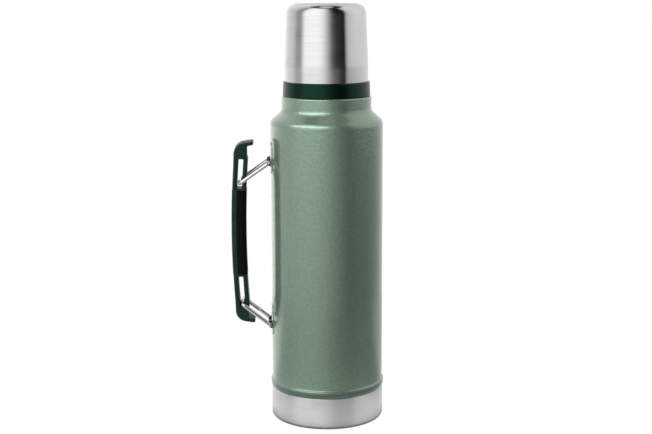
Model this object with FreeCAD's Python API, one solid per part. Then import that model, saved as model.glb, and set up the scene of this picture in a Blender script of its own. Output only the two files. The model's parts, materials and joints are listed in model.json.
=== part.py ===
"""Vacuum flask, one litre class, as separate pieces.

Frame: millimetres, +Z up along the bottle's axis, origin at the centre of the base's underside.
The handle is on the -X side.
"""
import FreeCAD, Part
import math
import os
from FreeCAD import Vector

# ---- Bottle, outside ----
BODY_R = 49.5            # painted body
WALL = 0.6               # steel wall of the outer vessel
SHOULDER_Z = 267.8       # where the body's line meets the shoulder's cone
SHOULDER_TOP_Z = 276.6   # where the cone meets the collar's line
COLLAR_R = 39.3          # painted collar above the shoulder
COLLAR_TOP_Z = 289.5
BASE_R = 50.05           # brushed base band
BASE_H = 28.35
BASE_EDGE = 3.2          # rounding at the base's outer bottom edge
FOOT_IN = 38.0           # inner edge of the flat ring that the bottle stands on
BEAD_Z = 28.4            # underside of the painted bead, on the base band's rim
BEAD_R = 50.7
BEAD_TOP_Z = 35.5
SLEEVE_R = 49.15         # the outer vessel's lower end, inside the base band
SLEEVE_Z = 10.0

# ---- Bottom plate of the outer vessel, its seal and the getter ----
PLATE_Z = 16.0           # underside
PLATE_T = 0.8
DIMPLE_R = 5.0
DIMPLE_FLOOR_R = 3.0
DIMPLE_DEPTH = 2.0
PINHOLE_R = 0.6
SEAL_R = 2.6
SEAL_DROP = 1.1          # how far the solder stands below the dimple
CLIP_X = 14.0            # near end of the clip's foot
CLIP_FOOT = 9.0
CLIP_SHELF = 11.0
CLIP_W = 6.0
CLIP_T = 0.4
CLIP_RISE = 2.0          # shelf above foot
GETTER_X = 29.5
GETTER_R = 2.4
GETTER_H = 1.9

# ---- Neck and inner bottle ----
NECK_R = 33.4            # outside of the neck, at the root of its thread
LIP_Z = 306.0            # top of the pouring lip
LIP_R = 1.9              # rounding of the lip
NECK_BOTTOM_Z = 283.0
RELIEF = 0.4             # step in the neck below its lip
RELIEF_H = 3.2
CURL_DEPTH = 5.0         # the lip's curl reaches this far down into the neck
SEAT_DROP = 2.5          # the inner bottle ends this far below the lip's top
VESSEL_R = 38.1          # inner bottle, outside
VESSEL_WALL = 0.45
VESSEL_BOTTOM_Z = 23.0
VESSEL_SHOULDER_Z = 253.0
VESSEL_NECK_Z = 266.0
THROAT_R = 29.0          # inner bottle's neck, outside
BORE_R = 28.4            # inner bottle's neck, inside
DOME_R = 20.0            # the inner bottle's bottom is shallowest outside this radius
DOME_Z = 25.0
DOME_RISE = 0.4

# ---- Threads: right-handed, one start ----
LEAD = 6.0
RIDGE_ROOT = 2.4         # ridge width at the wall
RIDGE_CREST = 1.3        # ridge width at its crest
RIDGE_SINK = 0.35        # how far a ridge's root goes into its wall
CUP_THREAD_TURNS = 1.5
CUP_THREAD_Z = 291.6     # start of the neck's outer ridge
CUP_THREAD_CREST = 34.6
STOPPER_THREAD_TURNS = 1.5
STOPPER_THREAD_Z = 290.5  # start of the inner ridge in the neck
STOPPER_THREAD_CREST = 26.85

# ---- Cup ----
RING_BOTTOM_Z = 289.7
RING_TOP_Z = 302.2
RING_R = 38.3
RING_TOP_R = 37.85
RING_BORE = 34.8
GROOVE_IN = 35.15        # gasket groove in the ring's underside
GROOVE_OUT = 37.25
GROOVE_TOP_Z = 290.95
SPIGOT_H = 3.8           # the ring's spigot, between cup and liner
CUP_R = 36.45            # steel cup at its mouth
CUP_STRAIGHT_Z = 316.0   # the cup tapers above this height
CUP_BLEND = 60.0         # radius between the straight and tapered walls
CUP_TOP_R = 34.25        # taper carried up to the top plane
CUP_EDGE = 8.2           # rounding of the top edge
CUP_TOP_Z = 368.9
CUP_WALL = 0.6
LINER_R = 34.9
LINER_TOP_R = 32.6
LINER_WALL = 1.3
LINER_TOP_Z = 366.9

# ---- Stopper ----
PLUG_R = 26.6
PLUG_WALL = 2.0
PLUG_BOTTOM_Z = 274.0
PLUG_CREST = 28.1
PLUG_FOOT = 1.8          # thickness of the disc under the plug
FLANGE_Z = 307.65
FLANGE_TOP_Z = 310.4
FLANGE_R = 31.8
KNOB_R = 25.5
KNOB_TOP_Z = 331.0
KNOB_FLUTES = 12
FLUTE_R = 4.0
FLUTE_DEPTH = 1.4
GASKET_R = 31.3

# ---- Handle, in the plane y = 0: radius out from the axis, height from its middle ----
HANDLE_MID_Z = 169.0
HANDLE_HALF_W = 10.6
HANDLE_EDGE = 1.5        # rounding of the frame's edges along both side faces
BOW_R = 864.0            # the whole handle is bowed to this radius
SPINE_OUT = 84.3         # radii at the handle's middle height
SPINE_IN = 80.25
RAIL_OUT = 75.75
RAIL_IN = 72.0
SLOT_NEAR = 39.4         # slot ends, from the handle's middle
SLOT_FAR = 66.0
SLOT_ROUND = 1.0
GRIP_LOW = -37.2         # the grip's ends, from the handle's middle
GRIP_HIGH = 38.4
GRIP_SEAT = -0.2         # the grip's outer face lies this far outside the slot's outer line
GRIP_CREST = 0.35        # the grip stands this much prouder than the rail
GRIP_ROUND = 3.4         # rounding of the grip's edges towards the bottle
GRIP_ROUND_OUT = 0.7     # and where its sides meet the frame's
CORE_DEPTH = 2.4         # the core inside the grip stops this far short of the rail's inner line
CORE_SIDE = 3.0          # and this far inside each side face
PAD_STEP = 0.2           # the spine stands this much prouder behind the grip
WEB_IN = 70.2            # inner face of the solid end, past the slot
WEB_ROUND = 0.4
HOOK_TIP = 65.9          # radius to the centre of the curled lip's rounded end
HOOK_TIP_U = 79.8
HOOK_ANGLE = 9.0         # lip's slope above horizontal, towards the body
HOOK_T = 3.2
HOOK_ROUND = 1.6         # rounding of the lip's end, on the handle's outside
HOOK_ROUND_IN = 1.4      # and on its inside
HOOK_BEND = 10.0
END_U = 60.0             # the ends of the outline are drawn from this height on

# ---- Bails and brackets ----
PIVOT_R = 50.9           # bail pivots, out from the bottle's axis
WIRE_R = 1.8
WIRE_GAP = 0.2           # play between the crossbar and the slot's wall
BAIL_L = 31.3            # pivot to crossbar
BAIL_HALF_W = 12.9       # arm centres, either side of y = 0
BAIL_BEND = 2.5
UPPER_BAR_U = 45.2       # crossbar heights, from the handle's middle
LOWER_BAR_U = -63.8
LUG_R = 2.0
LUG_IN = 6.0             # lugs span this distance either side of y = 0
LUG_OUT = 9.6
LUG_FOOT = 5.0           # half height of a lug where it meets the plate
LUG_KNEE = 3.4           # half height of a lug just outside the plate
PIN_R = 1.2              # the wire's ends are turned down to pins for the lugs
PIN_ROOT = 10.2          # pins span this distance either side of y = 0
PIN_END = 5.7
PIN_PLAY = 0.06
BRACKET_H = 27.0
BRACKET_RISE = 3.5       # the plate's middle is this far above the pivot
BRACKET_W = 24.0
BRACKET_T = 0.5
BRACKET_CORNER = 5.0

GAP = 0.02               # between touching pieces

UP = Vector(0, 0, 1)
ORIGIN = Vector(0, 0, 0)


# ---- Shape helpers ----

def corner_arc(before, at, after, radius):
    """End points and middle point of the arc that rounds the corner at 'at'."""
    to_before = (before - at).normalize()
    to_after = (after - at).normalize()
    half = to_before.getAngle(to_after) / 2.0
    reach = radius / math.tan(half)
    bisector = (to_before + to_after).normalize()
    centre = at + bisector * (radius / math.sin(half))
    middle = centre - bisector * radius
    return at + to_before * reach, middle, at + to_after * reach


def outline(points):
    """Closed face in the XZ plane through (x, z) or (x, z, rounding radius) points."""
    corners = [Vector(p[0], 0, p[1]) for p in points]
    radii = [p[2] if len(p) > 2 else 0.0 for p in points]
    count = len(points)
    edges = []
    pieces = []
    for i in range(count):
        if radii[i] > 0:
            pieces.append(corner_arc(corners[i - 1], corners[i], corners[(i + 1) % count], radii[i]))
        else:
            pieces.append((corners[i],))
    for i in range(count):
        piece = pieces[i]
        following = pieces[(i + 1) % count]
        if len(piece) == 3:
            edges.append(Part.Arc(*piece).toShape())
        if piece[-1].distanceToPoint(following[0]) > 1e-6:
            edges.append(Part.makeLine(piece[-1], following[0]))
    return Part.Face(Part.Wire(edges))


def turned(points):
    """Solid of revolution about Z from an outline of (radius, z[, rounding]) points."""
    return outline(points).revolve(ORIGIN, UP, 360)


def slab(face, half_width):
    """Extrude a face of the XZ plane to both sides of y = 0."""
    face.translate(Vector(0, -half_width, 0))
    return face.extrude(Vector(0, 2 * half_width, 0))


def merged(first, *others):
    """One clean solid from overlapping solids."""
    result = first.multiFuse(list(others)).removeSplitter()
    return result.Solids[0]


def thread_ridge(wall_r, crest_r, z_start, turns):
    """Right-handed helical ridge on a wall, fading in and out over a quarter of a turn."""
    step = math.radians(15)
    count = round(2 * math.pi * turns / step)
    fade = 6
    sign = 1.0 if crest_r > wall_r else -1.0
    root_r = wall_r - sign * RIDGE_SINK
    sections = []
    for i in range(count + 1):
        angle = i * step
        level = min(1.0, (i + 0.6) / fade, (count - i + 0.6) / fade)
        tip_r = wall_r + (crest_r - wall_r) * level
        z = z_start + LEAD * angle / (2 * math.pi)
        corners = [(root_r, -RIDGE_ROOT / 2), (tip_r, -RIDGE_CREST / 2),
                   (tip_r, RIDGE_CREST / 2), (root_r, RIDGE_ROOT / 2)]
        ring = [Vector(r * math.cos(angle), r * math.sin(angle), z + dz) for r, dz in corners]
        sections.append(Part.makePolygon(ring + [ring[0]]))
    return Part.makeLoft(sections, True, False)


# ---- Bottle ----

def outer_shell():
    """Painted outer vessel: sleeve in the base band, bead, body, shoulder, collar and top shelf."""
    inner = BODY_R - WALL
    collar_in = COLLAR_R - WALL
    return turned([
        (SLEEVE_R - WALL, SLEEVE_Z),
        (SLEEVE_R, SLEEVE_Z),
        (SLEEVE_R, BEAD_Z),
        (BEAD_R - 0.55, BEAD_Z, 0.5),
        (BEAD_R, BEAD_Z + 2.6, 2.2),
        (BEAD_R, BEAD_TOP_Z - 1.2, 0.9),
        (BODY_R, BEAD_TOP_Z, 0.9),
        (BODY_R, SHOULDER_Z, 6.5),
        (COLLAR_R, SHOULDER_TOP_Z, 6.0),
        (COLLAR_R, COLLAR_TOP_Z, 1.4),
        (NECK_R + GAP, COLLAR_TOP_Z),
        (NECK_R + GAP, COLLAR_TOP_Z - WALL),
        (collar_in, COLLAR_TOP_Z - WALL),
        (collar_in, SHOULDER_TOP_Z - 0.4, 6.6),
        (inner, SHOULDER_Z - 0.4, 5.9),
        (inner, BEAD_TOP_Z + 0.3),
        (BEAD_R - WALL, BEAD_TOP_Z - 1.5),
        (BEAD_R - WALL, BEAD_Z + 2.4),
        (SLEEVE_R - WALL, BEAD_Z + 0.6),
    ])


def base_cap():
    """Brushed steel cup around the bottom, standing on a flat ring with a recess inside it."""
    recess_r = FOOT_IN - 5.0
    recess_z = 3.0
    inner = BASE_R - WALL
    return turned([
        (0, recess_z),
        (recess_r, recess_z, 1.6),
        (FOOT_IN, 0, 1.6),
        (BASE_R, 0, BASE_EDGE),
        (BASE_R, BASE_H, 0.25),
        (inner, BASE_H, 0.25),
        (inner, WALL, BASE_EDGE - WALL),
        (FOOT_IN + 0.3, WALL, 1.2),
        (recess_r + 0.3, recess_z + WALL, 1.2),
        (0, recess_z + WALL),
    ])


def outer_base():
    """Bottom plate of the outer vessel, flanged for its weld, with a dimple around a pinhole."""
    flange_r = SLEEVE_R - WALL - GAP
    flange_in = flange_r - WALL
    floor = PLATE_Z - DIMPLE_DEPTH
    return turned([
        (PINHOLE_R, floor),
        (DIMPLE_FLOOR_R, floor),
        (DIMPLE_R, PLATE_Z),
        (flange_in - 3.0, PLATE_Z),
        (flange_in, PLATE_Z - 2.5),
        (flange_in, SLEEVE_Z),
        (flange_r, SLEEVE_Z),
        (flange_r, PLATE_Z - 1.5, 1.5),
        (flange_r - 4.0, PLATE_Z + PLATE_T, 1.5),
        (DIMPLE_R - 0.4, PLATE_Z + PLATE_T),
        (DIMPLE_FLOOR_R - 0.4, floor + PLATE_T),
        (PINHOLE_R, floor + PLATE_T),
    ])


def evacuation_seal():
    """Solder bead under the dimple, with a stem that plugs the pinhole."""
    top = PLATE_Z - DIMPLE_DEPTH - GAP
    stem_r = PINHOLE_R - 0.05
    return turned([
        (0, top - SEAL_DROP),
        (SEAL_R - 1.0, top - SEAL_DROP + 0.2),
        (SEAL_R, top),
        (stem_r, top),
        (stem_r, top + PLATE_T + 0.1),
        (0, top + PLATE_T + 0.1),
    ])


def getter_clip():
    """Bent steel strip, spot welded on the bottom plate, holding the getter pellet."""
    foot_z = PLATE_Z + PLATE_T + GAP
    shelf_x = CLIP_X + CLIP_FOOT - CLIP_T
    foot = Part.makeBox(CLIP_FOOT, CLIP_W, CLIP_T, Vector(CLIP_X, -CLIP_W / 2, foot_z))
    wall = Part.makeBox(CLIP_T, CLIP_W, CLIP_RISE + CLIP_T, Vector(shelf_x, -CLIP_W / 2, foot_z))
    shelf = Part.makeBox(CLIP_SHELF, CLIP_W, CLIP_T, Vector(shelf_x, -CLIP_W / 2, foot_z + CLIP_RISE))
    seat = Part.makeCylinder(GETTER_R + GAP, 3 * CLIP_T, Vector(GETTER_X, 0, foot_z + CLIP_RISE - CLIP_T))
    return merged(foot, wall, shelf).cut(seat).Solids[0]


def getter():
    """Getter pellet, snapped into the clip's ring."""
    bottom = PLATE_Z + PLATE_T + CLIP_RISE - 0.7
    return Part.makeCylinder(GETTER_R, GETTER_H, Vector(GETTER_X, 0, bottom))


def inner_vessel():
    """Inner bottle: straight body, shoulder and a neck with the stopper's ridge inside it."""
    inner = VESSEL_R - VESSEL_WALL
    top = LIP_Z - SEAT_DROP
    shell = turned([
        (inner, VESSEL_BOTTOM_Z),
        (VESSEL_R, VESSEL_BOTTOM_Z),
        (VESSEL_R, VESSEL_SHOULDER_Z, 9.0),
        (THROAT_R, VESSEL_NECK_Z, 6.0),
        (THROAT_R, top),
        (BORE_R, top),
        (BORE_R, VESSEL_NECK_Z - 0.3, 6.6),
        (inner, VESSEL_SHOULDER_Z - 0.3, 8.4),
    ])
    ridge = thread_ridge(BORE_R, STOPPER_THREAD_CREST, STOPPER_THREAD_Z, STOPPER_THREAD_TURNS)
    return merged(shell, ridge)


def inner_base():
    """Domed bottom of the inner bottle, its rim turned down inside the bottle's wall."""
    rim = VESSEL_R - VESSEL_WALL - GAP
    thickness = 0.7
    return turned([
        (0, DOME_Z + DOME_RISE),
        (DOME_R, DOME_Z),
        (rim - 3.0, DOME_Z + 1.6),
        (rim - VESSEL_WALL, DOME_Z + 1.0),
        (rim - VESSEL_WALL, VESSEL_BOTTOM_Z),
        (rim, VESSEL_BOTTOM_Z),
        (rim, DOME_Z + 2.0, 1.2),
        (rim - 3.4, DOME_Z + 2.6, 2.0),
        (DOME_R, DOME_Z + thickness),
        (0, DOME_Z + DOME_RISE + thickness),
    ])


def radiation_foil():
    """Reflecting foil wrapped around the inner bottle's straight body."""
    inner = VESSEL_R + 0.1
    thickness = 0.2
    low = VESSEL_BOTTOM_Z + 3
    high = VESSEL_SHOULDER_Z - 6
    return turned([
        (inner, low),
        (inner + thickness, low),
        (inner + thickness, high),
        (inner, high),
    ])


def neck_sleeve():
    """Steel neck: outer tube with the cup's ridge, rolled over at the top to meet the inner bottle."""
    tube_in = NECK_R - WALL
    curl_in = THROAT_R + GAP
    lip_in = curl_in - 0.8
    seat_z = LIP_Z - SEAT_DROP + 0.05
    sleeve = turned([
        (tube_in, NECK_BOTTOM_Z),
        (NECK_R, NECK_BOTTOM_Z),
        (NECK_R, LIP_Z - RELIEF_H - RELIEF),
        (NECK_R - RELIEF, LIP_Z - RELIEF_H),
        (NECK_R - RELIEF, LIP_Z, LIP_R),
        (lip_in, LIP_Z, LIP_R - 0.4),
        (lip_in, seat_z),
        (curl_in, seat_z),
        (curl_in, LIP_Z - CURL_DEPTH),
        (curl_in + WALL, LIP_Z - CURL_DEPTH),
        (curl_in + WALL, LIP_Z - WALL, 1.0),
        (tube_in, LIP_Z - WALL, 1.0),
    ])
    ridge = thread_ridge(NECK_R, CUP_THREAD_CREST, CUP_THREAD_Z, CUP_THREAD_TURNS)
    return merged(sleeve, ridge)


# ---- Handle and its hangers ----

def bow_x(at_middle, u):
    """X of a bowed line, at height u from the handle's middle, that is at_middle out at u = 0."""
    radius = BOW_R - (SPINE_OUT - at_middle)
    centre = SPINE_OUT - BOW_R
    return -(centre + math.sqrt(radius * radius - u * u))


def bow_edge(at_middle, u_from, u_to):
    """Arc of a bowed line between two heights from the handle's middle."""
    ends = [Vector(bow_x(at_middle, u), 0, HANDLE_MID_Z + u)
            for u in (u_from, (u_from + u_to) / 2.0, u_to)]
    return Part.Arc(*ends).toShape()


def bowed_face(out, inn, u_from, u_to):
    """Face between two bowed lines, closed by straight ends."""
    outer = bow_edge(out, u_from, u_to)
    inner = bow_edge(inn, u_to, u_from)
    far_end = Part.makeLine(outer.Vertexes[-1].Point, inner.Vertexes[0].Point)
    near_end = Part.makeLine(inner.Vertexes[-1].Point, outer.Vertexes[0].Point)
    return Part.Face(Part.Wire([outer, far_end, inner, near_end]))


def slot(u_near, u_far):
    """Bowed slot with rounded corners; u_near and u_far are its ends."""
    block = slab(bowed_face(SPINE_IN, RAIL_OUT, u_near, u_far), HANDLE_HALF_W + 1)
    corners = [edge for edge in block.Edges if edge.BoundBox.YLength > HANDLE_HALF_W]
    return block.makeFillet(SLOT_ROUND, corners)


def hook_points():
    """Half outline of the handle's solid end with its curled lip, as (x, u, rounding) points."""
    slope = math.tan(math.radians(HOOK_ANGLE))
    drop = HOOK_T / 2.0 / math.cos(math.radians(HOOK_ANGLE))
    tip = HOOK_TIP - HOOK_T / 2.0 * math.cos(math.radians(HOOK_ANGLE))

    def lip_u(radius, side):
        return HOOK_TIP_U - (radius - HOOK_TIP) * slope + side * drop

    spine_r = -bow_x(SPINE_OUT, HOOK_TIP_U - HOOK_BEND)
    rail_r = -bow_x(RAIL_IN, SLOT_FAR)
    return [
        (-spine_r, lip_u(spine_r, 1), HOOK_BEND),
        (-tip, lip_u(tip, 1), HOOK_ROUND),
        (-tip - 0.3, lip_u(tip + 0.3, -1), HOOK_ROUND_IN),
        (-WEB_IN, lip_u(WEB_IN, -1), 2.0),
        (-WEB_IN, SLOT_FAR + 1.4, WEB_ROUND),
        (-rail_r, SLOT_FAR + 0.4, WEB_ROUND),
    ]


def frame_face():
    """Side outline of the handle: bowed spine and rail, with a curled lip at each end."""
    edges = []
    upper = [(x, HANDLE_MID_Z + u, r) for x, u, r in hook_points()]
    start = (bow_x(SPINE_OUT, END_U), HANDLE_MID_Z + END_U)
    finish = (bow_x(RAIL_IN, END_U), HANDLE_MID_Z + END_U)
    chain = [start] + upper + [finish]
    corners = [Vector(p[0], 0, p[1]) for p in chain]
    last = corners[0]
    for i in range(1, len(chain) - 1):
        arc = corner_arc(corners[i - 1], corners[i], corners[i + 1], chain[i][2])
        edges.append(Part.makeLine(last, arc[0]))
        edges.append(Part.Arc(*arc).toShape())
        last = arc[2]
    edges.append(Part.makeLine(last, corners[-1]))
    end_wire = Part.Wire(edges)
    mirror = end_wire.mirror(Vector(0, 0, HANDLE_MID_Z), UP)
    spine = bow_edge(SPINE_OUT, -END_U, END_U)
    rail = bow_edge(RAIL_IN, END_U, -END_U)
    return Part.Face(Part.Wire(Part.__sortEdges__(end_wire.Edges + mirror.Edges + [spine, rail])))


def grip_core(clearance):
    """The part of the handle's middle that the grip wraps around."""
    outer = SPINE_IN + GRIP_SEAT + 0.2
    face = bowed_face(outer, RAIL_IN + CORE_DEPTH - clearance, GRIP_LOW - 1, GRIP_HIGH + 1)
    return slab(face, HANDLE_HALF_W - CORE_SIDE + clearance)


def side_edges(solid):
    """The edges that lie in the handle's two side faces."""
    found = []
    for edge in solid.Edges:
        box = edge.BoundBox
        if box.YMax - box.YMin < 1e-6 and abs(abs(box.YMin) - HANDLE_HALF_W) < 1e-6:
            found.append(edge)
    return found


def handle_frame():
    """Dark green moulded handle."""
    frame = slab(frame_face(), HANDLE_HALF_W)
    for sense in (1.0, -1.0):
        frame = frame.cut(slot(sense * SLOT_NEAR, sense * SLOT_FAR))
    frame = frame.makeFillet(HANDLE_EDGE, side_edges(frame))
    pad_face = bowed_face(SPINE_OUT + PAD_STEP, SPINE_OUT - 1, GRIP_LOW, GRIP_HIGH)
    pad = slab(pad_face, HANDLE_HALF_W - HANDLE_EDGE)
    room_face = bowed_face(SPINE_IN + GRIP_SEAT, RAIL_IN - 2, GRIP_LOW, GRIP_HIGH)
    room = slab(room_face, HANDLE_HALF_W + 1)
    frame = frame.cut(room.cut(grip_core(0.0)))
    return frame.fuse(pad).removeSplitter().Solids[0]


def handle_grip():
    """Black soft pad around the handle's middle."""
    face = bowed_face(SPINE_IN + GRIP_SEAT - GAP, RAIL_IN - GRIP_CREST, GRIP_LOW + GAP, GRIP_HIGH - GAP)
    pad = slab(face, HANDLE_HALF_W).cut(grip_core(GAP)).Solids[0]
    long_edges = [edge for edge in side_edges(pad) if edge.Length > GRIP_HIGH]
    inner = [edge for edge in long_edges if edge.BoundBox.XMax > -RAIL_IN - 1]
    pad = pad.makeFillet(GRIP_ROUND, inner)
    outer = [edge for edge in side_edges(pad)
             if edge.Length > GRIP_HIGH and edge.BoundBox.XMin < -SPINE_IN + 1]
    return pad.makeFillet(GRIP_ROUND_OUT, outer).Solids[0]


def bar_place(bar_u):
    """(x, z) of a crossbar's centre, resting against the rail in its slot."""
    return bow_x(RAIL_OUT, bar_u) - WIRE_R - WIRE_GAP, HANDLE_MID_Z + bar_u


def pivot_z(bar_u):
    """Height of the bail's pivot: above the crossbar for the upper bail, below it for the lower."""
    bar_x, bar_z = bar_place(bar_u)
    reach = -bar_x - PIVOT_R
    rise = math.sqrt(BAIL_L ** 2 - reach ** 2)
    return bar_z + rise if bar_u > 0 else bar_z - rise


def bail(bar_u):
    """Steel wire bent into a bracket: crossbar, two arms and two inward ends turned down to pins."""
    bar_x, bar_z = bar_place(bar_u)
    arm = Vector(bar_x + PIVOT_R, 0, bar_z - pivot_z(bar_u)).normalize()
    pivot = Vector(-PIVOT_R, 0, pivot_z(bar_u))
    side = Vector(0, 1, 0)
    corners = [pivot + side * PIN_ROOT,
               pivot + side * BAIL_HALF_W,
               pivot + side * BAIL_HALF_W + arm * BAIL_L,
               pivot - side * BAIL_HALF_W + arm * BAIL_L,
               pivot - side * BAIL_HALF_W,
               pivot - side * PIN_ROOT]
    edges = []
    last = corners[0]
    for i in range(1, 5):
        start, middle, end = corner_arc(corners[i - 1], corners[i], corners[i + 1], BAIL_BEND)
        edges.append(Part.makeLine(last, start))
        edges.append(Part.Arc(start, middle, end).toShape())
        last = end
    edges.append(Part.makeLine(last, corners[5]))
    section = Part.Wire([Part.makeCircle(WIRE_R, corners[0], side)])
    wire = Part.Wire(edges).makePipeShell([section], True, False).Solids[0]
    length = PIN_ROOT + 0.5 - PIN_END
    near = Part.makeCylinder(PIN_R, length, pivot + side * PIN_END, side)
    far = Part.makeCylinder(PIN_R, length, pivot - side * PIN_END, side * -1)
    return merged(wire, near, far)


def bracket(z):
    """Curved plate on the body with two lugs that take a bail's stubs, pivoted at height z."""
    inner = BODY_R + GAP
    low = z + BRACKET_RISE - BRACKET_H / 2
    ring = Part.makeCylinder(inner + BRACKET_T, BRACKET_H, Vector(0, 0, low))
    face = outline_yz(BRACKET_W / 2, low, low + BRACKET_H, BRACKET_CORNER)
    plate = ring.common(face.extrude(Vector(-BODY_R - 10, 0, 0)))
    root = BODY_R - 2.5
    knee = BODY_R + 0.7
    tip = PIVOT_R + LUG_R
    tip_round = LUG_R - 0.3
    lug_face = outline([
        (-root, z - LUG_FOOT),
        (-knee, z - LUG_KNEE, 1.0),
        (-tip, z - LUG_R, tip_round),
        (-tip, z + LUG_R, tip_round),
        (-knee, z + LUG_KNEE, 1.0),
        (-root, z + LUG_FOOT),
    ])
    lugs = []
    for y in (-LUG_OUT, LUG_IN):
        lug = lug_face.copy()
        lug.translate(Vector(0, y, 0))
        lugs.append(lug.extrude(Vector(0, LUG_OUT - LUG_IN, 0)))
    body = Part.makeCylinder(inner, BRACKET_H + 4, Vector(0, 0, low - 2))
    plate = plate.multiFuse(lugs).cut(body)
    hole_in = PIN_END - 0.3
    hole_out = LUG_OUT + 2.7
    for y in (-hole_out, hole_in):
        start = Vector(-PIVOT_R, y, z)
        hole = Part.makeCylinder(PIN_R + PIN_PLAY, hole_out - hole_in, start, Vector(0, 1, 0))
        plate = plate.cut(hole)
    return plate.removeSplitter().Solids[0]


def outline_yz(half_w, z_low, z_high, radius):
    """Rounded rectangle in the plane x = 0."""
    face = outline([(-half_w, z_low, radius), (half_w, z_low, radius),
                    (half_w, z_high, radius), (-half_w, z_high, radius)])
    face.rotate(ORIGIN, UP, 90)
    return face


# ---- Cup ----

def cup_taper(z):
    """Outer radius of the steel cup's tapered wall."""
    share = (z - CUP_STRAIGHT_Z) / (CUP_TOP_Z - CUP_STRAIGHT_Z)
    return CUP_R + (CUP_TOP_R - CUP_R) * share


def cup_shell():
    """Brushed steel outside of the cup."""
    mouth = RING_TOP_Z + 0.1
    roof = CUP_TOP_Z - CUP_WALL
    return turned([
        (0, roof),
        (cup_taper(roof) - CUP_WALL, roof, CUP_EDGE - CUP_WALL),
        (CUP_R - CUP_WALL, CUP_STRAIGHT_Z, CUP_BLEND),
        (CUP_R - CUP_WALL, mouth),
        (CUP_R, mouth, 0.2),
        (CUP_R, CUP_STRAIGHT_Z, CUP_BLEND),
        (CUP_TOP_R, CUP_TOP_Z, CUP_EDGE),
        (0, CUP_TOP_Z),
    ])


def cup_liner():
    """Plastic inside of the cup."""
    mouth = RING_TOP_Z + 0.75
    roof = LINER_TOP_Z - LINER_WALL
    return turned([
        (0, roof),
        (LINER_TOP_R - LINER_WALL, roof, CUP_EDGE - 2.5),
        (LINER_R - LINER_WALL, CUP_STRAIGHT_Z),
        (LINER_R - LINER_WALL, mouth),
        (LINER_R, mouth),
        (LINER_R, CUP_STRAIGHT_Z),
        (LINER_TOP_R, LINER_TOP_Z, CUP_EDGE - 1.2),
        (0, LINER_TOP_Z),
    ])


def cup_collar():
    """Dark green threaded ring that carries the steel cup and its liner."""
    spigot_out = CUP_R - CUP_WALL - 0.05
    spigot_in = LINER_R + 0.05
    ring = turned([
        (RING_BORE, RING_BOTTOM_Z),
        (GROOVE_IN, RING_BOTTOM_Z),
        (GROOVE_IN, GROOVE_TOP_Z),
        (GROOVE_OUT, GROOVE_TOP_Z),
        (GROOVE_OUT, RING_BOTTOM_Z),
        (RING_R, RING_BOTTOM_Z, 0.4),
        (RING_TOP_R, RING_TOP_Z, 0.9),
        (spigot_out, RING_TOP_Z),
        (spigot_out, RING_TOP_Z + SPIGOT_H),
        (spigot_in, RING_TOP_Z + SPIGOT_H),
        (spigot_in, RING_TOP_Z + 0.7),
        (NECK_R + 0.3, RING_TOP_Z + 0.7),
        (NECK_R + 0.3, RING_TOP_Z - 0.5),
        (RING_BORE, RING_TOP_Z - 1.4),
    ])
    ridge = thread_ridge(RING_BORE, NECK_R + 0.2, CUP_THREAD_Z + LEAD / 2, 1.0)
    return merged(ring, ridge)


def cup_gasket():
    """Rubber ring in the collar's groove, landing on the bottle's shelf."""
    play = 0.05
    return turned([
        (GROOVE_IN + play, COLLAR_TOP_Z + GAP, 0.3),
        (GROOVE_OUT - play, COLLAR_TOP_Z + GAP, 0.3),
        (GROOVE_OUT - play, GROOVE_TOP_Z - play),
        (GROOVE_IN + play, GROOVE_TOP_Z - play),
    ])


# ---- Stopper ----

def stopper_body():
    """Threaded plug, open at both ends."""
    inner = PLUG_R - PLUG_WALL
    tube = turned([
        (inner, PLUG_BOTTOM_Z),
        (PLUG_R, PLUG_BOTTOM_Z, 0.6),
        (PLUG_R, FLANGE_Z - GAP),
        (inner, FLANGE_Z - GAP),
    ])
    ridge = thread_ridge(PLUG_R, PLUG_CREST, STOPPER_THREAD_Z - LEAD / 2, STOPPER_THREAD_TURNS)
    return merged(tube, ridge)


def stopper_knob():
    """Flange and fluted knob, hollow from below."""
    inner = PLUG_R - PLUG_WALL - GAP
    skirt_z = FLANGE_Z - 3.5
    roof = KNOB_TOP_Z - 2.5
    knob = turned([
        (0, roof),
        (KNOB_R - 4.5, roof, 3.0),
        (KNOB_R - 3.5, skirt_z),
        (inner, skirt_z),
        (inner, FLANGE_Z),
        (FLANGE_R, FLANGE_Z, 0.5),
        (FLANGE_R, FLANGE_TOP_Z, 1.2),
        (KNOB_R + 0.6, FLANGE_TOP_Z, 1.0),
        (KNOB_R - 0.6, KNOB_TOP_Z, 2.6),
        (0, KNOB_TOP_Z),
    ])
    reach = KNOB_R + FLUTE_R - FLUTE_DEPTH
    for i in range(KNOB_FLUTES):
        angle = 2 * math.pi * i / KNOB_FLUTES
        foot = Vector(reach * math.cos(angle), reach * math.sin(angle), FLANGE_TOP_Z + 1.6)
        knob = knob.cut(Part.makeCylinder(FLUTE_R, KNOB_TOP_Z - FLANGE_TOP_Z, foot))
    return knob.Solids[0]


def stopper_foam():
    """Insulation inside the plug."""
    radius = PLUG_R - PLUG_WALL - 0.1
    low = PLUG_BOTTOM_Z + 2.1
    high = FLANGE_Z - 3.6
    return turned([
        (0, low),
        (radius, low),
        (radius, high),
        (0, high),
    ])


def stopper_base():
    """Disc welded into the plug's lower end."""
    spigot = PLUG_R - PLUG_WALL - GAP
    return turned([
        (0, PLUG_BOTTOM_Z - PLUG_FOOT),
        (PLUG_R, PLUG_BOTTOM_Z - PLUG_FOOT, 1.0),
        (PLUG_R, PLUG_BOTTOM_Z - GAP),
        (spigot, PLUG_BOTTOM_Z - GAP),
        (spigot, PLUG_BOTTOM_Z + 2.0),
        (0, PLUG_BOTTOM_Z + 2.0),
    ])


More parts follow.
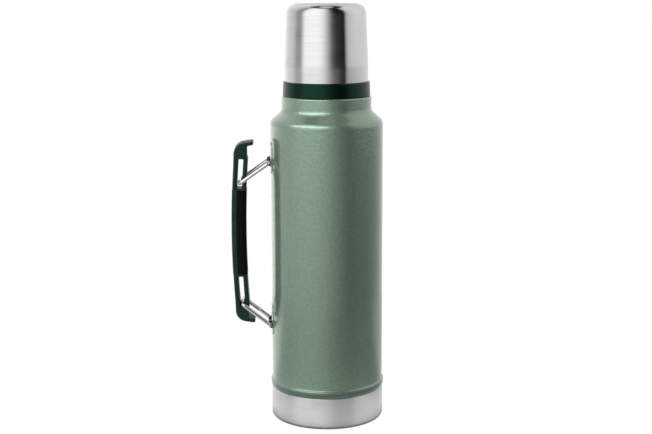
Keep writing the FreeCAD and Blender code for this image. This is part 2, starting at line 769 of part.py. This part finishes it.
def stopper_gasket():
    """Silicone ring between the stopper's flange and the pouring lip."""
    inner = PLUG_R + 0.05
    return turned([
        (inner, LIP_Z + GAP),
        (GASKET_R, LIP_Z + GAP, 0.5),
        (GASKET_R, FLANGE_Z - GAP, 0.5),
        (inner, FLANGE_Z - GAP),
    ])


PARTS = {
    "outer_shell": outer_shell,
    "base_cap": base_cap,
    "outer_base": outer_base,
    "evacuation_seal": evacuation_seal,
    "getter_clip": getter_clip,
    "getter": getter,
    "inner_vessel": inner_vessel,
    "inner_base": inner_base,
    "radiation_foil": radiation_foil,
    "neck_sleeve": neck_sleeve,
    "upper_bracket": lambda: bracket(pivot_z(UPPER_BAR_U)),
    "lower_bracket": lambda: bracket(pivot_z(LOWER_BAR_U)),
    "upper_bail": lambda: bail(UPPER_BAR_U),
    "lower_bail": lambda: bail(LOWER_BAR_U),
    "handle_frame": handle_frame,
    "handle_grip": handle_grip,
    "cup_shell": cup_shell,
    "cup_liner": cup_liner,
    "cup_collar": cup_collar,
    "cup_gasket": cup_gasket,
    "stopper_body": stopper_body,
    "stopper_knob": stopper_knob,
    "stopper_foam": stopper_foam,
    "stopper_base": stopper_base,
    "stopper_gasket": stopper_gasket,
}

os.makedirs("parts", exist_ok=True)
for name, make in PARTS.items():
    solid = make()
    if not solid.isValid() or solid.ShapeType != "Solid":
        print("check", name, solid.ShapeType, solid.isValid())
    solid.exportStep("parts/" + name + ".step")
    box = solid.BoundBox
    heights = f"z {box.ZMin:.2f} to {box.ZMax:.2f}"
    widths = f"x {box.XMin:.2f} to {box.XMax:.2f}"
    print(f"{name}: {solid.Volume:.0f} mm3, {heights}, {widths}")
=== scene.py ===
"""Looks of the vacuum flask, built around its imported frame. Metres, in the CAD's own frame.

+Z is up along the bottle's axis and the handle is on the -X side.
"""
import json
import math

import bmesh
import bpy
from mathutils import Euler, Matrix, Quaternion, Vector


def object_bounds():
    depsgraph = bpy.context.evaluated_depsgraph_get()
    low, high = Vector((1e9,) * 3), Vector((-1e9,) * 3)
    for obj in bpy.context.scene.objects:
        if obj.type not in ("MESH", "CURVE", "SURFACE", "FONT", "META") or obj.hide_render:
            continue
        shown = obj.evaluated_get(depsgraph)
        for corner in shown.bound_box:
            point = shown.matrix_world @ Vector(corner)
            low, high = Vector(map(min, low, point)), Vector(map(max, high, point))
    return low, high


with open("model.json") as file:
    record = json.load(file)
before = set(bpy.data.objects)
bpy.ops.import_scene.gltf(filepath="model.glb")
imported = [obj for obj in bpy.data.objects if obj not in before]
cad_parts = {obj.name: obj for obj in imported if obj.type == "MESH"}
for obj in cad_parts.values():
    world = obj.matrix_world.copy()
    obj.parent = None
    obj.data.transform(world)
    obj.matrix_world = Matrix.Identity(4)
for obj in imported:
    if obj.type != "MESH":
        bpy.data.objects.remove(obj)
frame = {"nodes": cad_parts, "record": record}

MM = 0.001
CAD_BOX = [list(corner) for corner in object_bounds()]
NODES = frame["nodes"]

# ---- Camera: where the bottle is seen from ----
CAMERA_DISTANCE = 1.1247
CAMERA_HEIGHT = 0.3893
CAMERA_AZIMUTH = math.radians(-1.7)
CAMERA_PITCH = math.radians(10.475)
CAMERA_ROLL = math.radians(-0.16)
CAMERA_ASIDE = math.radians(0.038)
SENSOR = 36.0
LENS = 70.9

# ---- Studio: (azimuth, radiance) around the horizon, in degrees from the camera, + to its right ----
# A bright softbox from -62 to -9, its grey frame from -92 to -77, a dark room from 6 to 52, pale walls
# elsewhere
AT_HORIZON = [(-180, 1.00), (-150, 1.10), (-125, 0.90), (-104, 0.76), (-92, 0.42), (-77, 0.40),
              (-70, 0.95), (-62, 1.52), (-44, 1.60), (-26, 1.60), (-17, 1.50), (-9, 1.26),
              (-1, 0.90), (6, 0.54), (13, 0.22), (20, 0.06), (28, 0.014), (52, 0.014),
              (54.5, 0.30), (58, 0.58), (64, 0.84), (75, 0.97), (96, 1.05), (120, 1.00), (180, 0.86)]
# The same, weaker, as the pale table top far from the bottle gives it back
BELOW_HORIZON = [(-180, 1.10), (-140, 1.60), (-115, 1.30), (-88, 0.90), (-55, 0.70), (-20, 0.68),
                 (-6, 0.70), (8, 0.66), (20, 0.54), (31, 0.36), (42, 0.13), (55, 0.03),
                 (80, 0.03), (96, 0.08), (110, 0.22), (122, 0.44), (145, 0.80), (180, 0.90)]
# Elevations between which the lower ring of light gives way to the upper one
BLEND_FROM = math.radians(-7.5)
BLEND_TO = math.radians(-5)
# Higher up: a dark gap above the softboxes, then a bright ceiling
GAP_GLOW = 0.03
GAP_FROM = math.radians(62)
GAP_FULL = math.radians(67)
CEILING = 1.00
CEILING_FROM = math.radians(77)
CEILING_FULL = math.radians(82)
# Key light: a softbox high on the left that reaches the green enamel only
KEY_WATTS = 16.0
KEY_REACH = 1.5
KEY_AZIMUTH = math.radians(-38)
KEY_ELEVATION = math.radians(32)
KEY_WIDTH = 2.3
KEY_HEIGHT = 0.56
# It is aimed at the shoulder, this share of the bottle's height
KEY_AIM = 0.72

# ---- Floor: light given to the bottle; lengths in metres from its axis ----
FLOOR_R = 0.46
# (distance, level): darkest in the contact shadow under the base
FLOOR_GLOW = [(0.0, 0.20), (0.053, 0.20), (0.059, 0.62), (0.066, 0.86), (0.100, 0.80), (0.125, 0.76),
              (0.165, 0.48), (0.25, 0.46)]
# Factors at the left and right ends of a stretch of this half width
FLOOR_NEAR_HALF_W = 0.09
FLOOR_NEAR_SIDES = (1.08, 0.96)
FLOOR_FAR_HALF_W = 0.13
FLOOR_FAR_SIDES = (1.0, 0.42)
FLOOR_BACK_SIDES = (1.12, 0.70)
# Where the near floor ends, and where the floor behind the bottle starts
FLOOR_NEAR_TO = 0.105
FLOOR_FAR_FROM = 0.15
FLOOR_BACK_FROM = 0.03
FLOOR_BACK_FULL = 0.12


# ---- Node graph helper ----

class Graph:
    """Short way to write a shader node tree."""

    def __init__(self, owner):
        owner.use_nodes = True
        self.tree = owner.node_tree
        self.tree.nodes.clear()

    def node(self, kind, inputs=None, **settings):
        made = self.tree.nodes.new(kind)
        for key, value in settings.items():
            setattr(made, key, value)
        for key, value in (inputs or {}).items():
            self.plug(made.inputs[key], value)
        return made

    def plug(self, socket, value):
        if isinstance(value, bpy.types.NodeSocket):
            self.tree.links.new(value, socket)
        else:
            socket.default_value = value

    def math(self, operation, a, b=0.0, c=0.0):
        made = self.node("ShaderNodeMath", operation=operation)
        for socket, value in zip(made.inputs, (a, b, c)):
            self.plug(socket, value)
        return made.outputs[0]

    def span(self, value, low, high, to_low=0.0, to_high=1.0, smooth=False):
        kind = "SMOOTHSTEP" if smooth else "LINEAR"
        made = self.node("ShaderNodeMapRange", {"Value": value, "From Min": low, "From Max": high,
                                                "To Min": to_low, "To Max": to_high},
                         interpolation_type=kind)
        return made.outputs[0]

    def mix(self, factor, a, b):
        made = self.node("ShaderNodeMix", data_type="RGBA")
        self.plug(made.inputs[0], factor)
        self.plug(made.inputs[6], a)
        self.plug(made.inputs[7], b)
        return made.outputs[2]

    def blend(self, factor, a, b):
        """Value going from a to b as the factor goes from 0 to 1."""
        return self.math("MULTIPLY_ADD", self.math("SUBTRACT", b, a), factor, a)

    def levels(self, value, points):
        """Grey level that follows (value, level) points by straight lines."""
        low, high = points[0][0], points[-1][0]
        ramp = self.node("ShaderNodeValToRGB", {"Fac": self.span(value, low, high)})
        stops = ramp.color_ramp.elements
        for i in range(2, len(points)):
            stops.new((points[i][0] - low) / (high - low))
        for stop, (at, level) in zip(stops, points):
            stop.position = (at - low) / (high - low)
            stop.color = grey(level)
        return ramp.outputs[0]

    def place(self, x=1.0, y=1.0, z=1.0):
        """Object coordinates in millimetres, each axis multiplied."""
        coordinates = self.node("ShaderNodeTexCoord").outputs["Object"]
        scale = (x / MM, y / MM, z / MM)
        return self.node("ShaderNodeMapping", {"Vector": coordinates, "Scale": scale}).outputs[0]

    def noise(self, where, scale, detail=3.0, roughness=0.5, distortion=0.0):
        return self.node("ShaderNodeTexNoise", {"Vector": where, "Scale": scale, "Detail": detail,
                                                "Roughness": roughness,
                                                "Distortion": distortion}).outputs[0]

    def bump(self, height, depth_mm, strength):
        inputs = {"Height": height, "Distance": depth_mm * MM, "Strength": strength}
        return self.node("ShaderNodeBump", inputs).outputs[0]


def material(name, build):
    """New material whose Principled inputs come from build(graph)."""
    made = bpy.data.materials.new(name)
    graph = Graph(made)
    surface = graph.node("ShaderNodeBsdfPrincipled", build(graph))
    graph.node("ShaderNodeOutputMaterial", {"Surface": surface.outputs[0]})
    return made


def colour(r, g, b):
    return (r, g, b, 1.0)


def grey(level):
    return (level, level, level, 1.0)


# ---- Materials ----

# Painted shade on a bail bracket, dark on its lugs and the middle of its plate, between these distances
# out towards the handle, in millimetres
BRACKET_SHADE_FROM = 49.8
BRACKET_SHADE_FULL = 50.0
# Painted shade under the bead at the foot of the body, between these heights: the enamel is darkened there
# as if in the bead's shadow
BEAD_SHADE_Z = 30.5
BEAD_CLEAR_Z = 36.0
# The flat crown of the cup, at the top of the model, is spun satin instead of brushed
CROWN_Z = CAD_BOX[1][2] / MM
CROWN_DEPTH = 0.5
SATIN_ROUGH = 0.48
SATIN_METAL = 0.55
BRUSHED_GRAIN = 0.92
ENAMEL_METAL = 0.8


def hammertone_paint(g):
    """Metallic green enamel that dries in shallow rounded dimples about 2 mm across, with painted shade
    under the bead at the foot of the body.
    """
    where = g.place()
    wander = g.noise(where, 0.35, 2.0)
    warped = g.node("ShaderNodeVectorMath", {0: where}, operation="ADD")
    drift = g.node("ShaderNodeVectorMath", {0: wander, 1: (1.6, 1.6, 1.6)}, operation="MULTIPLY")
    g.plug(warped.inputs[1], drift.outputs[0])
    cells = g.node("ShaderNodeTexVoronoi", {"Vector": warped.outputs[0], "Scale": 0.48,
                                            "Smoothness": 0.75}, feature="SMOOTH_F1")
    dimple = g.span(cells.outputs["Distance"], 0.1, 0.75, smooth=True)
    flake = g.noise(where, 6.0, 2.0)
    tone = g.math("MULTIPLY_ADD", flake, 0.25, g.math("MULTIPLY", dimple, 0.34))
    paint = g.mix(tone, colour(0.211, 0.308, 0.230), colour(0.132, 0.201, 0.147))
    height = g.node("ShaderNodeSeparateXYZ", {0: where}).outputs[2]
    # Painted shade: below the bead the enamel is darkened towards a deep green, as if in the bead's shadow
    under = g.span(height, BEAD_SHADE_Z, BEAD_CLEAR_Z, 1.0, 0.0, smooth=True)
    paint = g.mix(under, paint, colour(0.060, 0.105, 0.075))
    relief = g.bump(g.math("SUBTRACT", 1.0, dimple), 0.075, 0.44)
    return {"Base Color": paint, "Metallic": ENAMEL_METAL, "Normal": relief, "Coat Normal": relief,
            "Roughness": g.span(flake, 0.2, 0.8, 0.42, 0.50),
            "Coat Weight": 1.0, "Coat Roughness": 0.13, "Coat IOR": 1.55}


def bracket_paint_and_shade(g):
    """The same enamel, with painted shade darkening the lugs and the middle of the plate nearly to black.
    """
    paint = hammertone_paint(g)
    outward = g.node("ShaderNodeSeparateXYZ", {0: g.place(-1.0)}).outputs[0]
    # Painted shade: towards the handle the lugs and the plate's middle go nearly black, with no coat
    bracket_shade = g.span(outward, BRACKET_SHADE_FROM, BRACKET_SHADE_FULL, smooth=True)
    paint["Base Color"] = g.mix(bracket_shade, paint["Base Color"], colour(0.006, 0.011, 0.009))
    paint["Coat Weight"] = g.math("SUBTRACT", 1.0, bracket_shade)
    paint["Metallic"] = g.blend(bracket_shade, ENAMEL_METAL, 0.0)
    paint["Specular IOR Level"] = 0.15
    return paint


def brushed(rough, streak_depth, streak_tone, blotch, tint=(0.60, 0.60, 0.595)):
    """Steel brushed around the bottle: fine rings of scratches and highlights drawn out along Z."""
    def build(g):
        rings = g.noise(g.place(0.03, 0.03, 5.0), 1.0, 2.0, 0.6)
        coarse = g.noise(g.place(0.02, 0.02, 1.3), 1.0, 4.0, 0.65)
        cloud = g.noise(g.place(0.05, 0.05, 0.09), 1.0, 1.5, 0.4)
        streaks = g.math("MULTIPLY_ADD", g.math("SUBTRACT", coarse, 0.5), streak_tone,
                         g.math("MULTIPLY_ADD", rings, 0.10, 0.95))
        shade = g.math("MULTIPLY_ADD", g.math("SUBTRACT", cloud, 0.5), blotch, streaks)
        steel = g.node("ShaderNodeVectorMath", {0: tint, 3: shade}, operation="SCALE").outputs[0]
        height = g.math("ADD", rings, g.math("MULTIPLY", coarse, 0.5))
        around = g.node("ShaderNodeTangent", direction_type="RADIAL", axis="Z").outputs[0]
        height_mm = g.node("ShaderNodeSeparateXYZ", {0: g.place()}).outputs[2]
        crown = g.span(height_mm, CROWN_Z - CROWN_DEPTH, CROWN_Z, smooth=True)
        side_rough = g.span(cloud, 0.25, 0.75, rough * 0.9, rough * 1.15)
        return {"Base Color": steel, "Metallic": g.blend(crown, 1.0, SATIN_METAL), "Tangent": around,
                "Anisotropic": g.blend(crown, BRUSHED_GRAIN, 0.0), "Anisotropic Rotation": 0.25,
                "Roughness": g.blend(crown, side_rough, SATIN_ROUGH),
                "Normal": g.bump(height, streak_depth, 0.6)}
    return build


def polished_wire(g):
    """Bright drawn wire with faint wear."""
    cloud = g.noise(g.place(), 0.8, 4.0)
    fine = g.noise(g.place(), 9.0, 2.0)
    return {"Base Color": g.mix(cloud, colour(0.80, 0.80, 0.80), colour(0.66, 0.66, 0.67)),
            "Metallic": 1.0, "Roughness": g.span(cloud, 0.3, 0.7, 0.10, 0.19),
            "Normal": g.bump(fine, 0.01, 0.3)}


def plain_steel(g):
    """Cold formed sheet that nobody polished."""
    cloud = g.noise(g.place(), 0.12, 5.0, 0.6)
    grain = g.noise(g.place(1.0, 1.0, 0.2), 3.0, 3.0)
    return {"Base Color": g.mix(cloud, colour(0.62, 0.62, 0.61), colour(0.48, 0.48, 0.47)),
            "Metallic": 1.0, "Roughness": g.span(grain, 0.2, 0.8, 0.24, 0.38),
            "Normal": g.bump(grain, 0.02, 0.4)}


def moulded(dark, light, rough, gloss, gloss_tint, texture_depth=0.02):
    """Moulded plastic: slight flow marks, fine spark-eroded texture."""
    def build(g):
        flow = g.noise(g.place(), 0.06, 3.0, 0.5, 0.4)
        grain = g.noise(g.place(), 3.2, 3.0, 0.6)
        return {"Base Color": g.mix(flow, colour(*dark), colour(*light)),
                "Roughness": g.span(grain, 0.25, 0.75, rough * 0.85, rough * 1.2),
                "Specular IOR Level": gloss, "Specular Tint": colour(*gloss_tint),
                "Normal": g.bump(grain, texture_depth, 0.5)}
    return build


def soft_rubber(g):
    """Black grip with a fine leathery grain."""
    where = g.place()
    cells = g.node("ShaderNodeTexVoronoi", {"Vector": where, "Scale": 1.3}, feature="F1")
    grain = g.noise(where, 4.0, 3.0)
    height = g.math("MULTIPLY_ADD", grain, 0.4, cells.outputs["Distance"])
    return {"Base Color": g.mix(grain, colour(0.0032, 0.0038, 0.0036), colour(0.006, 0.0066, 0.0064)),
            "Roughness": g.span(grain, 0.2, 0.8, 0.5, 0.68), "Specular IOR Level": 0.07,
            "Normal": g.bump(height, 0.05, 0.5)}


def silicone(g):
    cloud = g.noise(g.place(), 0.4, 3.0)
    return {"Base Color": g.mix(cloud, colour(0.62, 0.62, 0.60), colour(0.50, 0.50, 0.49)),
            "Roughness": g.span(cloud, 0.3, 0.7, 0.35, 0.5), "Subsurface Weight": 0.15,
            "Normal": g.bump(cloud, 0.02, 0.4)}


def foam(g):
    cells = g.node("ShaderNodeTexVoronoi", {"Vector": g.place(), "Scale": 1.1}, feature="F1")
    return {"Base Color": g.mix(cells.outputs["Distance"], colour(0.78, 0.75, 0.66),
                                colour(0.55, 0.52, 0.44)),
            "Roughness": 0.95, "Normal": g.bump(cells.outputs["Distance"], 0.3, 0.8)}


def foil(g):
    creases = g.noise(g.place(1.0, 1.0, 0.5), 0.35, 5.0, 0.6, 1.2)
    return {"Base Color": g.mix(creases, colour(0.86, 0.86, 0.86), colour(0.74, 0.74, 0.75)),
            "Metallic": 1.0, "Roughness": 0.16, "Normal": g.bump(creases, 0.25, 0.6)}


def solder(g):
    cloud = g.noise(g.place(), 1.2, 3.0)
    return {"Base Color": g.mix(cloud, colour(0.52, 0.52, 0.50), colour(0.38, 0.38, 0.37)),
            "Metallic": 1.0, "Roughness": g.span(cloud, 0.3, 0.7, 0.25, 0.45),
            "Normal": g.bump(cloud, 0.1, 0.5)}


def sintered_metal(g):
    grain = g.noise(g.place(), 5.0, 4.0)
    return {"Base Color": g.mix(grain, colour(0.16, 0.16, 0.17), colour(0.28, 0.28, 0.28)),
            "Metallic": 0.8, "Roughness": 0.7, "Normal": g.bump(grain, 0.06, 0.8)}


MATERIALS = {
    "green_paint": material("green_paint", hammertone_paint),
    "brushed_steel": material("brushed_steel", brushed(0.16, 0.010, 0.22, 0.10)),
    "plain_steel": material("plain_steel", plain_steel),
    "bright_wire": material("bright_wire", polished_wire),
    "green_plastic": material("green_plastic", moulded((0.001, 0.0045, 0.003), (0.0016, 0.006, 0.004),
                                                       0.26, 0.33, (0.30, 1.0, 0.72))),
    "dark_plastic": material("dark_plastic", moulded((0.012, 0.020, 0.018), (0.018, 0.028, 0.025),
                                                     0.45, 0.4, (0.9, 1.0, 0.96))),
    "black_rubber": material("black_rubber", soft_rubber),
    "clear_silicone": material("clear_silicone", silicone),
    "foam": material("foam", foam),
    "foil": material("foil", foil),
    "solder": material("solder", solder),
    "getter_metal": material("getter_metal", sintered_metal),
}
# The base band is brushed more coarsely than the cup, the handle is matter than the cup's ring, and
# the brackets have painted shade on their lugs.
BRACKET_PAINT_AND_SHADE = material("bracket_paint_and_shade", bracket_paint_and_shade)
SPECIAL = {
    "upper_bracket": BRACKET_PAINT_AND_SHADE,
    "lower_bracket": BRACKET_PAINT_AND_SHADE,
    "base_cap": material("band_steel", brushed(0.28, 0.006, 0.14, 0.34, (0.66, 0.66, 0.655))),
    "handle_frame": material("handle_plastic", moulded((0.014, 0.034, 0.026), (0.018, 0.042, 0.033),
                                                       0.42, 0.18, (0.6, 1.0, 0.85), 0.03)),
}
SLOT_OF = {entry["node"]: entry["material_slot"] for entry in frame["record"]["subparts"]}


def paint_cad_nodes():
    """Every carried-over CAD node gets the procedural material of its slot, or its own special one."""
    for name, node in NODES.items():
        node.data.materials.clear()
        node.data.materials.append(SPECIAL.get(name, MATERIALS[SLOT_OF[name]]))


# ---- Studio ----

def studio_world():
    """White backdrop for the camera; for the light, a softbox on the left and a dark room on the right."""
    world = bpy.data.worlds.new("studio")
    bpy.context.scene.world = world
    g = Graph(world)
    direction = g.node("ShaderNodeTexCoord").outputs["Generated"]
    parts = g.node("ShaderNodeSeparateXYZ", {0: direction})
    away = g.math("MULTIPLY", parts.outputs[1], -1.0)
    azimuth = g.math("ARCTAN2", parts.outputs[0], away)
    turn = g.math("MULTIPLY", g.math("SUBTRACT", azimuth, CAMERA_AZIMUTH), math.degrees(1.0))
    elevation = g.math("ARCSINE", parts.outputs[2])
    level = g.span(elevation, BLEND_FROM, BLEND_TO, smooth=True)
    light = g.mix(level, g.levels(turn, BELOW_HORIZON), g.levels(turn, AT_HORIZON))
    light = g.mix(g.span(elevation, GAP_FROM, GAP_FULL, smooth=True), light, grey(GAP_GLOW))
    light = g.mix(g.span(elevation, CEILING_FROM, CEILING_FULL, smooth=True), light, grey(CEILING))
    seen = g.node("ShaderNodeLightPath").outputs["Is Camera Ray"]
    glow = g.node("ShaderNodeBackground", {"Color": g.mix(seen, light, grey(1.0)), "Strength": 1.0})
    g.node("ShaderNodeOutputWorld", {"Surface": glow.outputs[0]})


def floor():
    """Pale round table top, white to the camera; it sends the bottle's right side less light."""
    mesh = bpy.data.meshes.new("floor")
    form = bmesh.new()
    bmesh.ops.create_circle(form, cap_ends=True, segments=96, radius=FLOOR_R)
    form.to_mesh(mesh)
    form.free()
    table = bpy.data.objects.new("floor", mesh)
    bpy.context.scene.collection.objects.link(table)
    surface = bpy.data.materials.new("floor")
    g = Graph(surface)
    where = g.node("ShaderNodeTexCoord").outputs["Object"]
    reach = g.node("ShaderNodeVectorMath", {0: where}, operation="LENGTH").outputs["Value"]
    parts = g.node("ShaderNodeSeparateXYZ", {0: where})
    across = parts.outputs[0]
    near = g.span(across, -FLOOR_NEAR_HALF_W, FLOOR_NEAR_HALF_W, *FLOOR_NEAR_SIDES)
    far = g.span(across, -FLOOR_FAR_HALF_W, FLOOR_FAR_HALF_W, *FLOOR_FAR_SIDES)
    back = g.span(across, -FLOOR_FAR_HALF_W, FLOOR_FAR_HALF_W, *FLOOR_BACK_SIDES)
    outside = g.span(reach, FLOOR_NEAR_TO, FLOOR_FAR_FROM, smooth=True)
    behind = g.span(parts.outputs[1], FLOOR_BACK_FROM, FLOOR_BACK_FULL, smooth=True)
    given = g.math("MULTIPLY", g.blend(outside, near, far), g.levels(reach, FLOOR_GLOW))
    given = g.blend(behind, given, back)
    seen = g.node("ShaderNodeLightPath").outputs["Is Camera Ray"]
    glow = g.node("ShaderNodeEmission", {"Color": grey(1.0), "Strength": g.blend(seen, given, 1.0)})
    g.node("ShaderNodeOutputMaterial", {"Surface": glow.outputs[0]})
    mesh.materials.append(surface)


def key_light():
    """Softbox whose light falls on the painted nodes and on nothing else."""
    lamp = bpy.data.lights.new("key", "AREA")
    lamp.shape = "RECTANGLE"
    lamp.size = KEY_WIDTH
    lamp.size_y = KEY_HEIGHT
    lamp.energy = KEY_WATTS
    key = bpy.data.objects.new("key", lamp)
    turn = CAMERA_AZIMUTH + KEY_AZIMUTH
    aim = Vector((0.0, 0.0, CAD_BOX[1][2] * KEY_AIM))
    away = Vector((math.sin(turn) * math.cos(KEY_ELEVATION), -math.cos(turn) * math.cos(KEY_ELEVATION),
                   math.sin(KEY_ELEVATION)))
    key.location = aim + away * KEY_REACH
    key.rotation_euler = away.to_track_quat("Z", "Y").to_euler()
    key.visible_camera = False
    painted = bpy.data.collections.new("painted")
    for name, node in NODES.items():
        if SLOT_OF[name] == "green_paint":
            painted.objects.link(node)
    key.light_linking.receiver_collection = painted
    bpy.context.scene.collection.objects.link(key)


def camera():
    """Camera at the height and distance that gives the bottle's perspective."""
    lens = bpy.data.cameras.new("camera")
    lens.sensor_fit = "HORIZONTAL"
    lens.sensor_width = SENSOR
    lens.lens = LENS
    lens.clip_end = 20.0
    eye = bpy.data.objects.new("camera", lens)
    eye.location = (CAMERA_DISTANCE * math.sin(CAMERA_AZIMUTH),
                    -CAMERA_DISTANCE * math.cos(CAMERA_AZIMUTH), CAMERA_HEIGHT)
    turn = Euler((math.pi / 2 - CAMERA_PITCH, 0.0, CAMERA_AZIMUTH + CAMERA_ASIDE)).to_quaternion()
    eye.rotation_euler = (turn @ Quaternion((0.0, 0.0, 1.0), CAMERA_ROLL)).to_euler()
    bpy.context.scene.collection.objects.link(eye)
    bpy.context.scene.camera = eye


paint_cad_nodes()
studio_world()
floor()
key_light()
camera()
scene = bpy.context.scene
scene.view_settings.view_transform = "Standard"
scene.view_settings.look = "None"
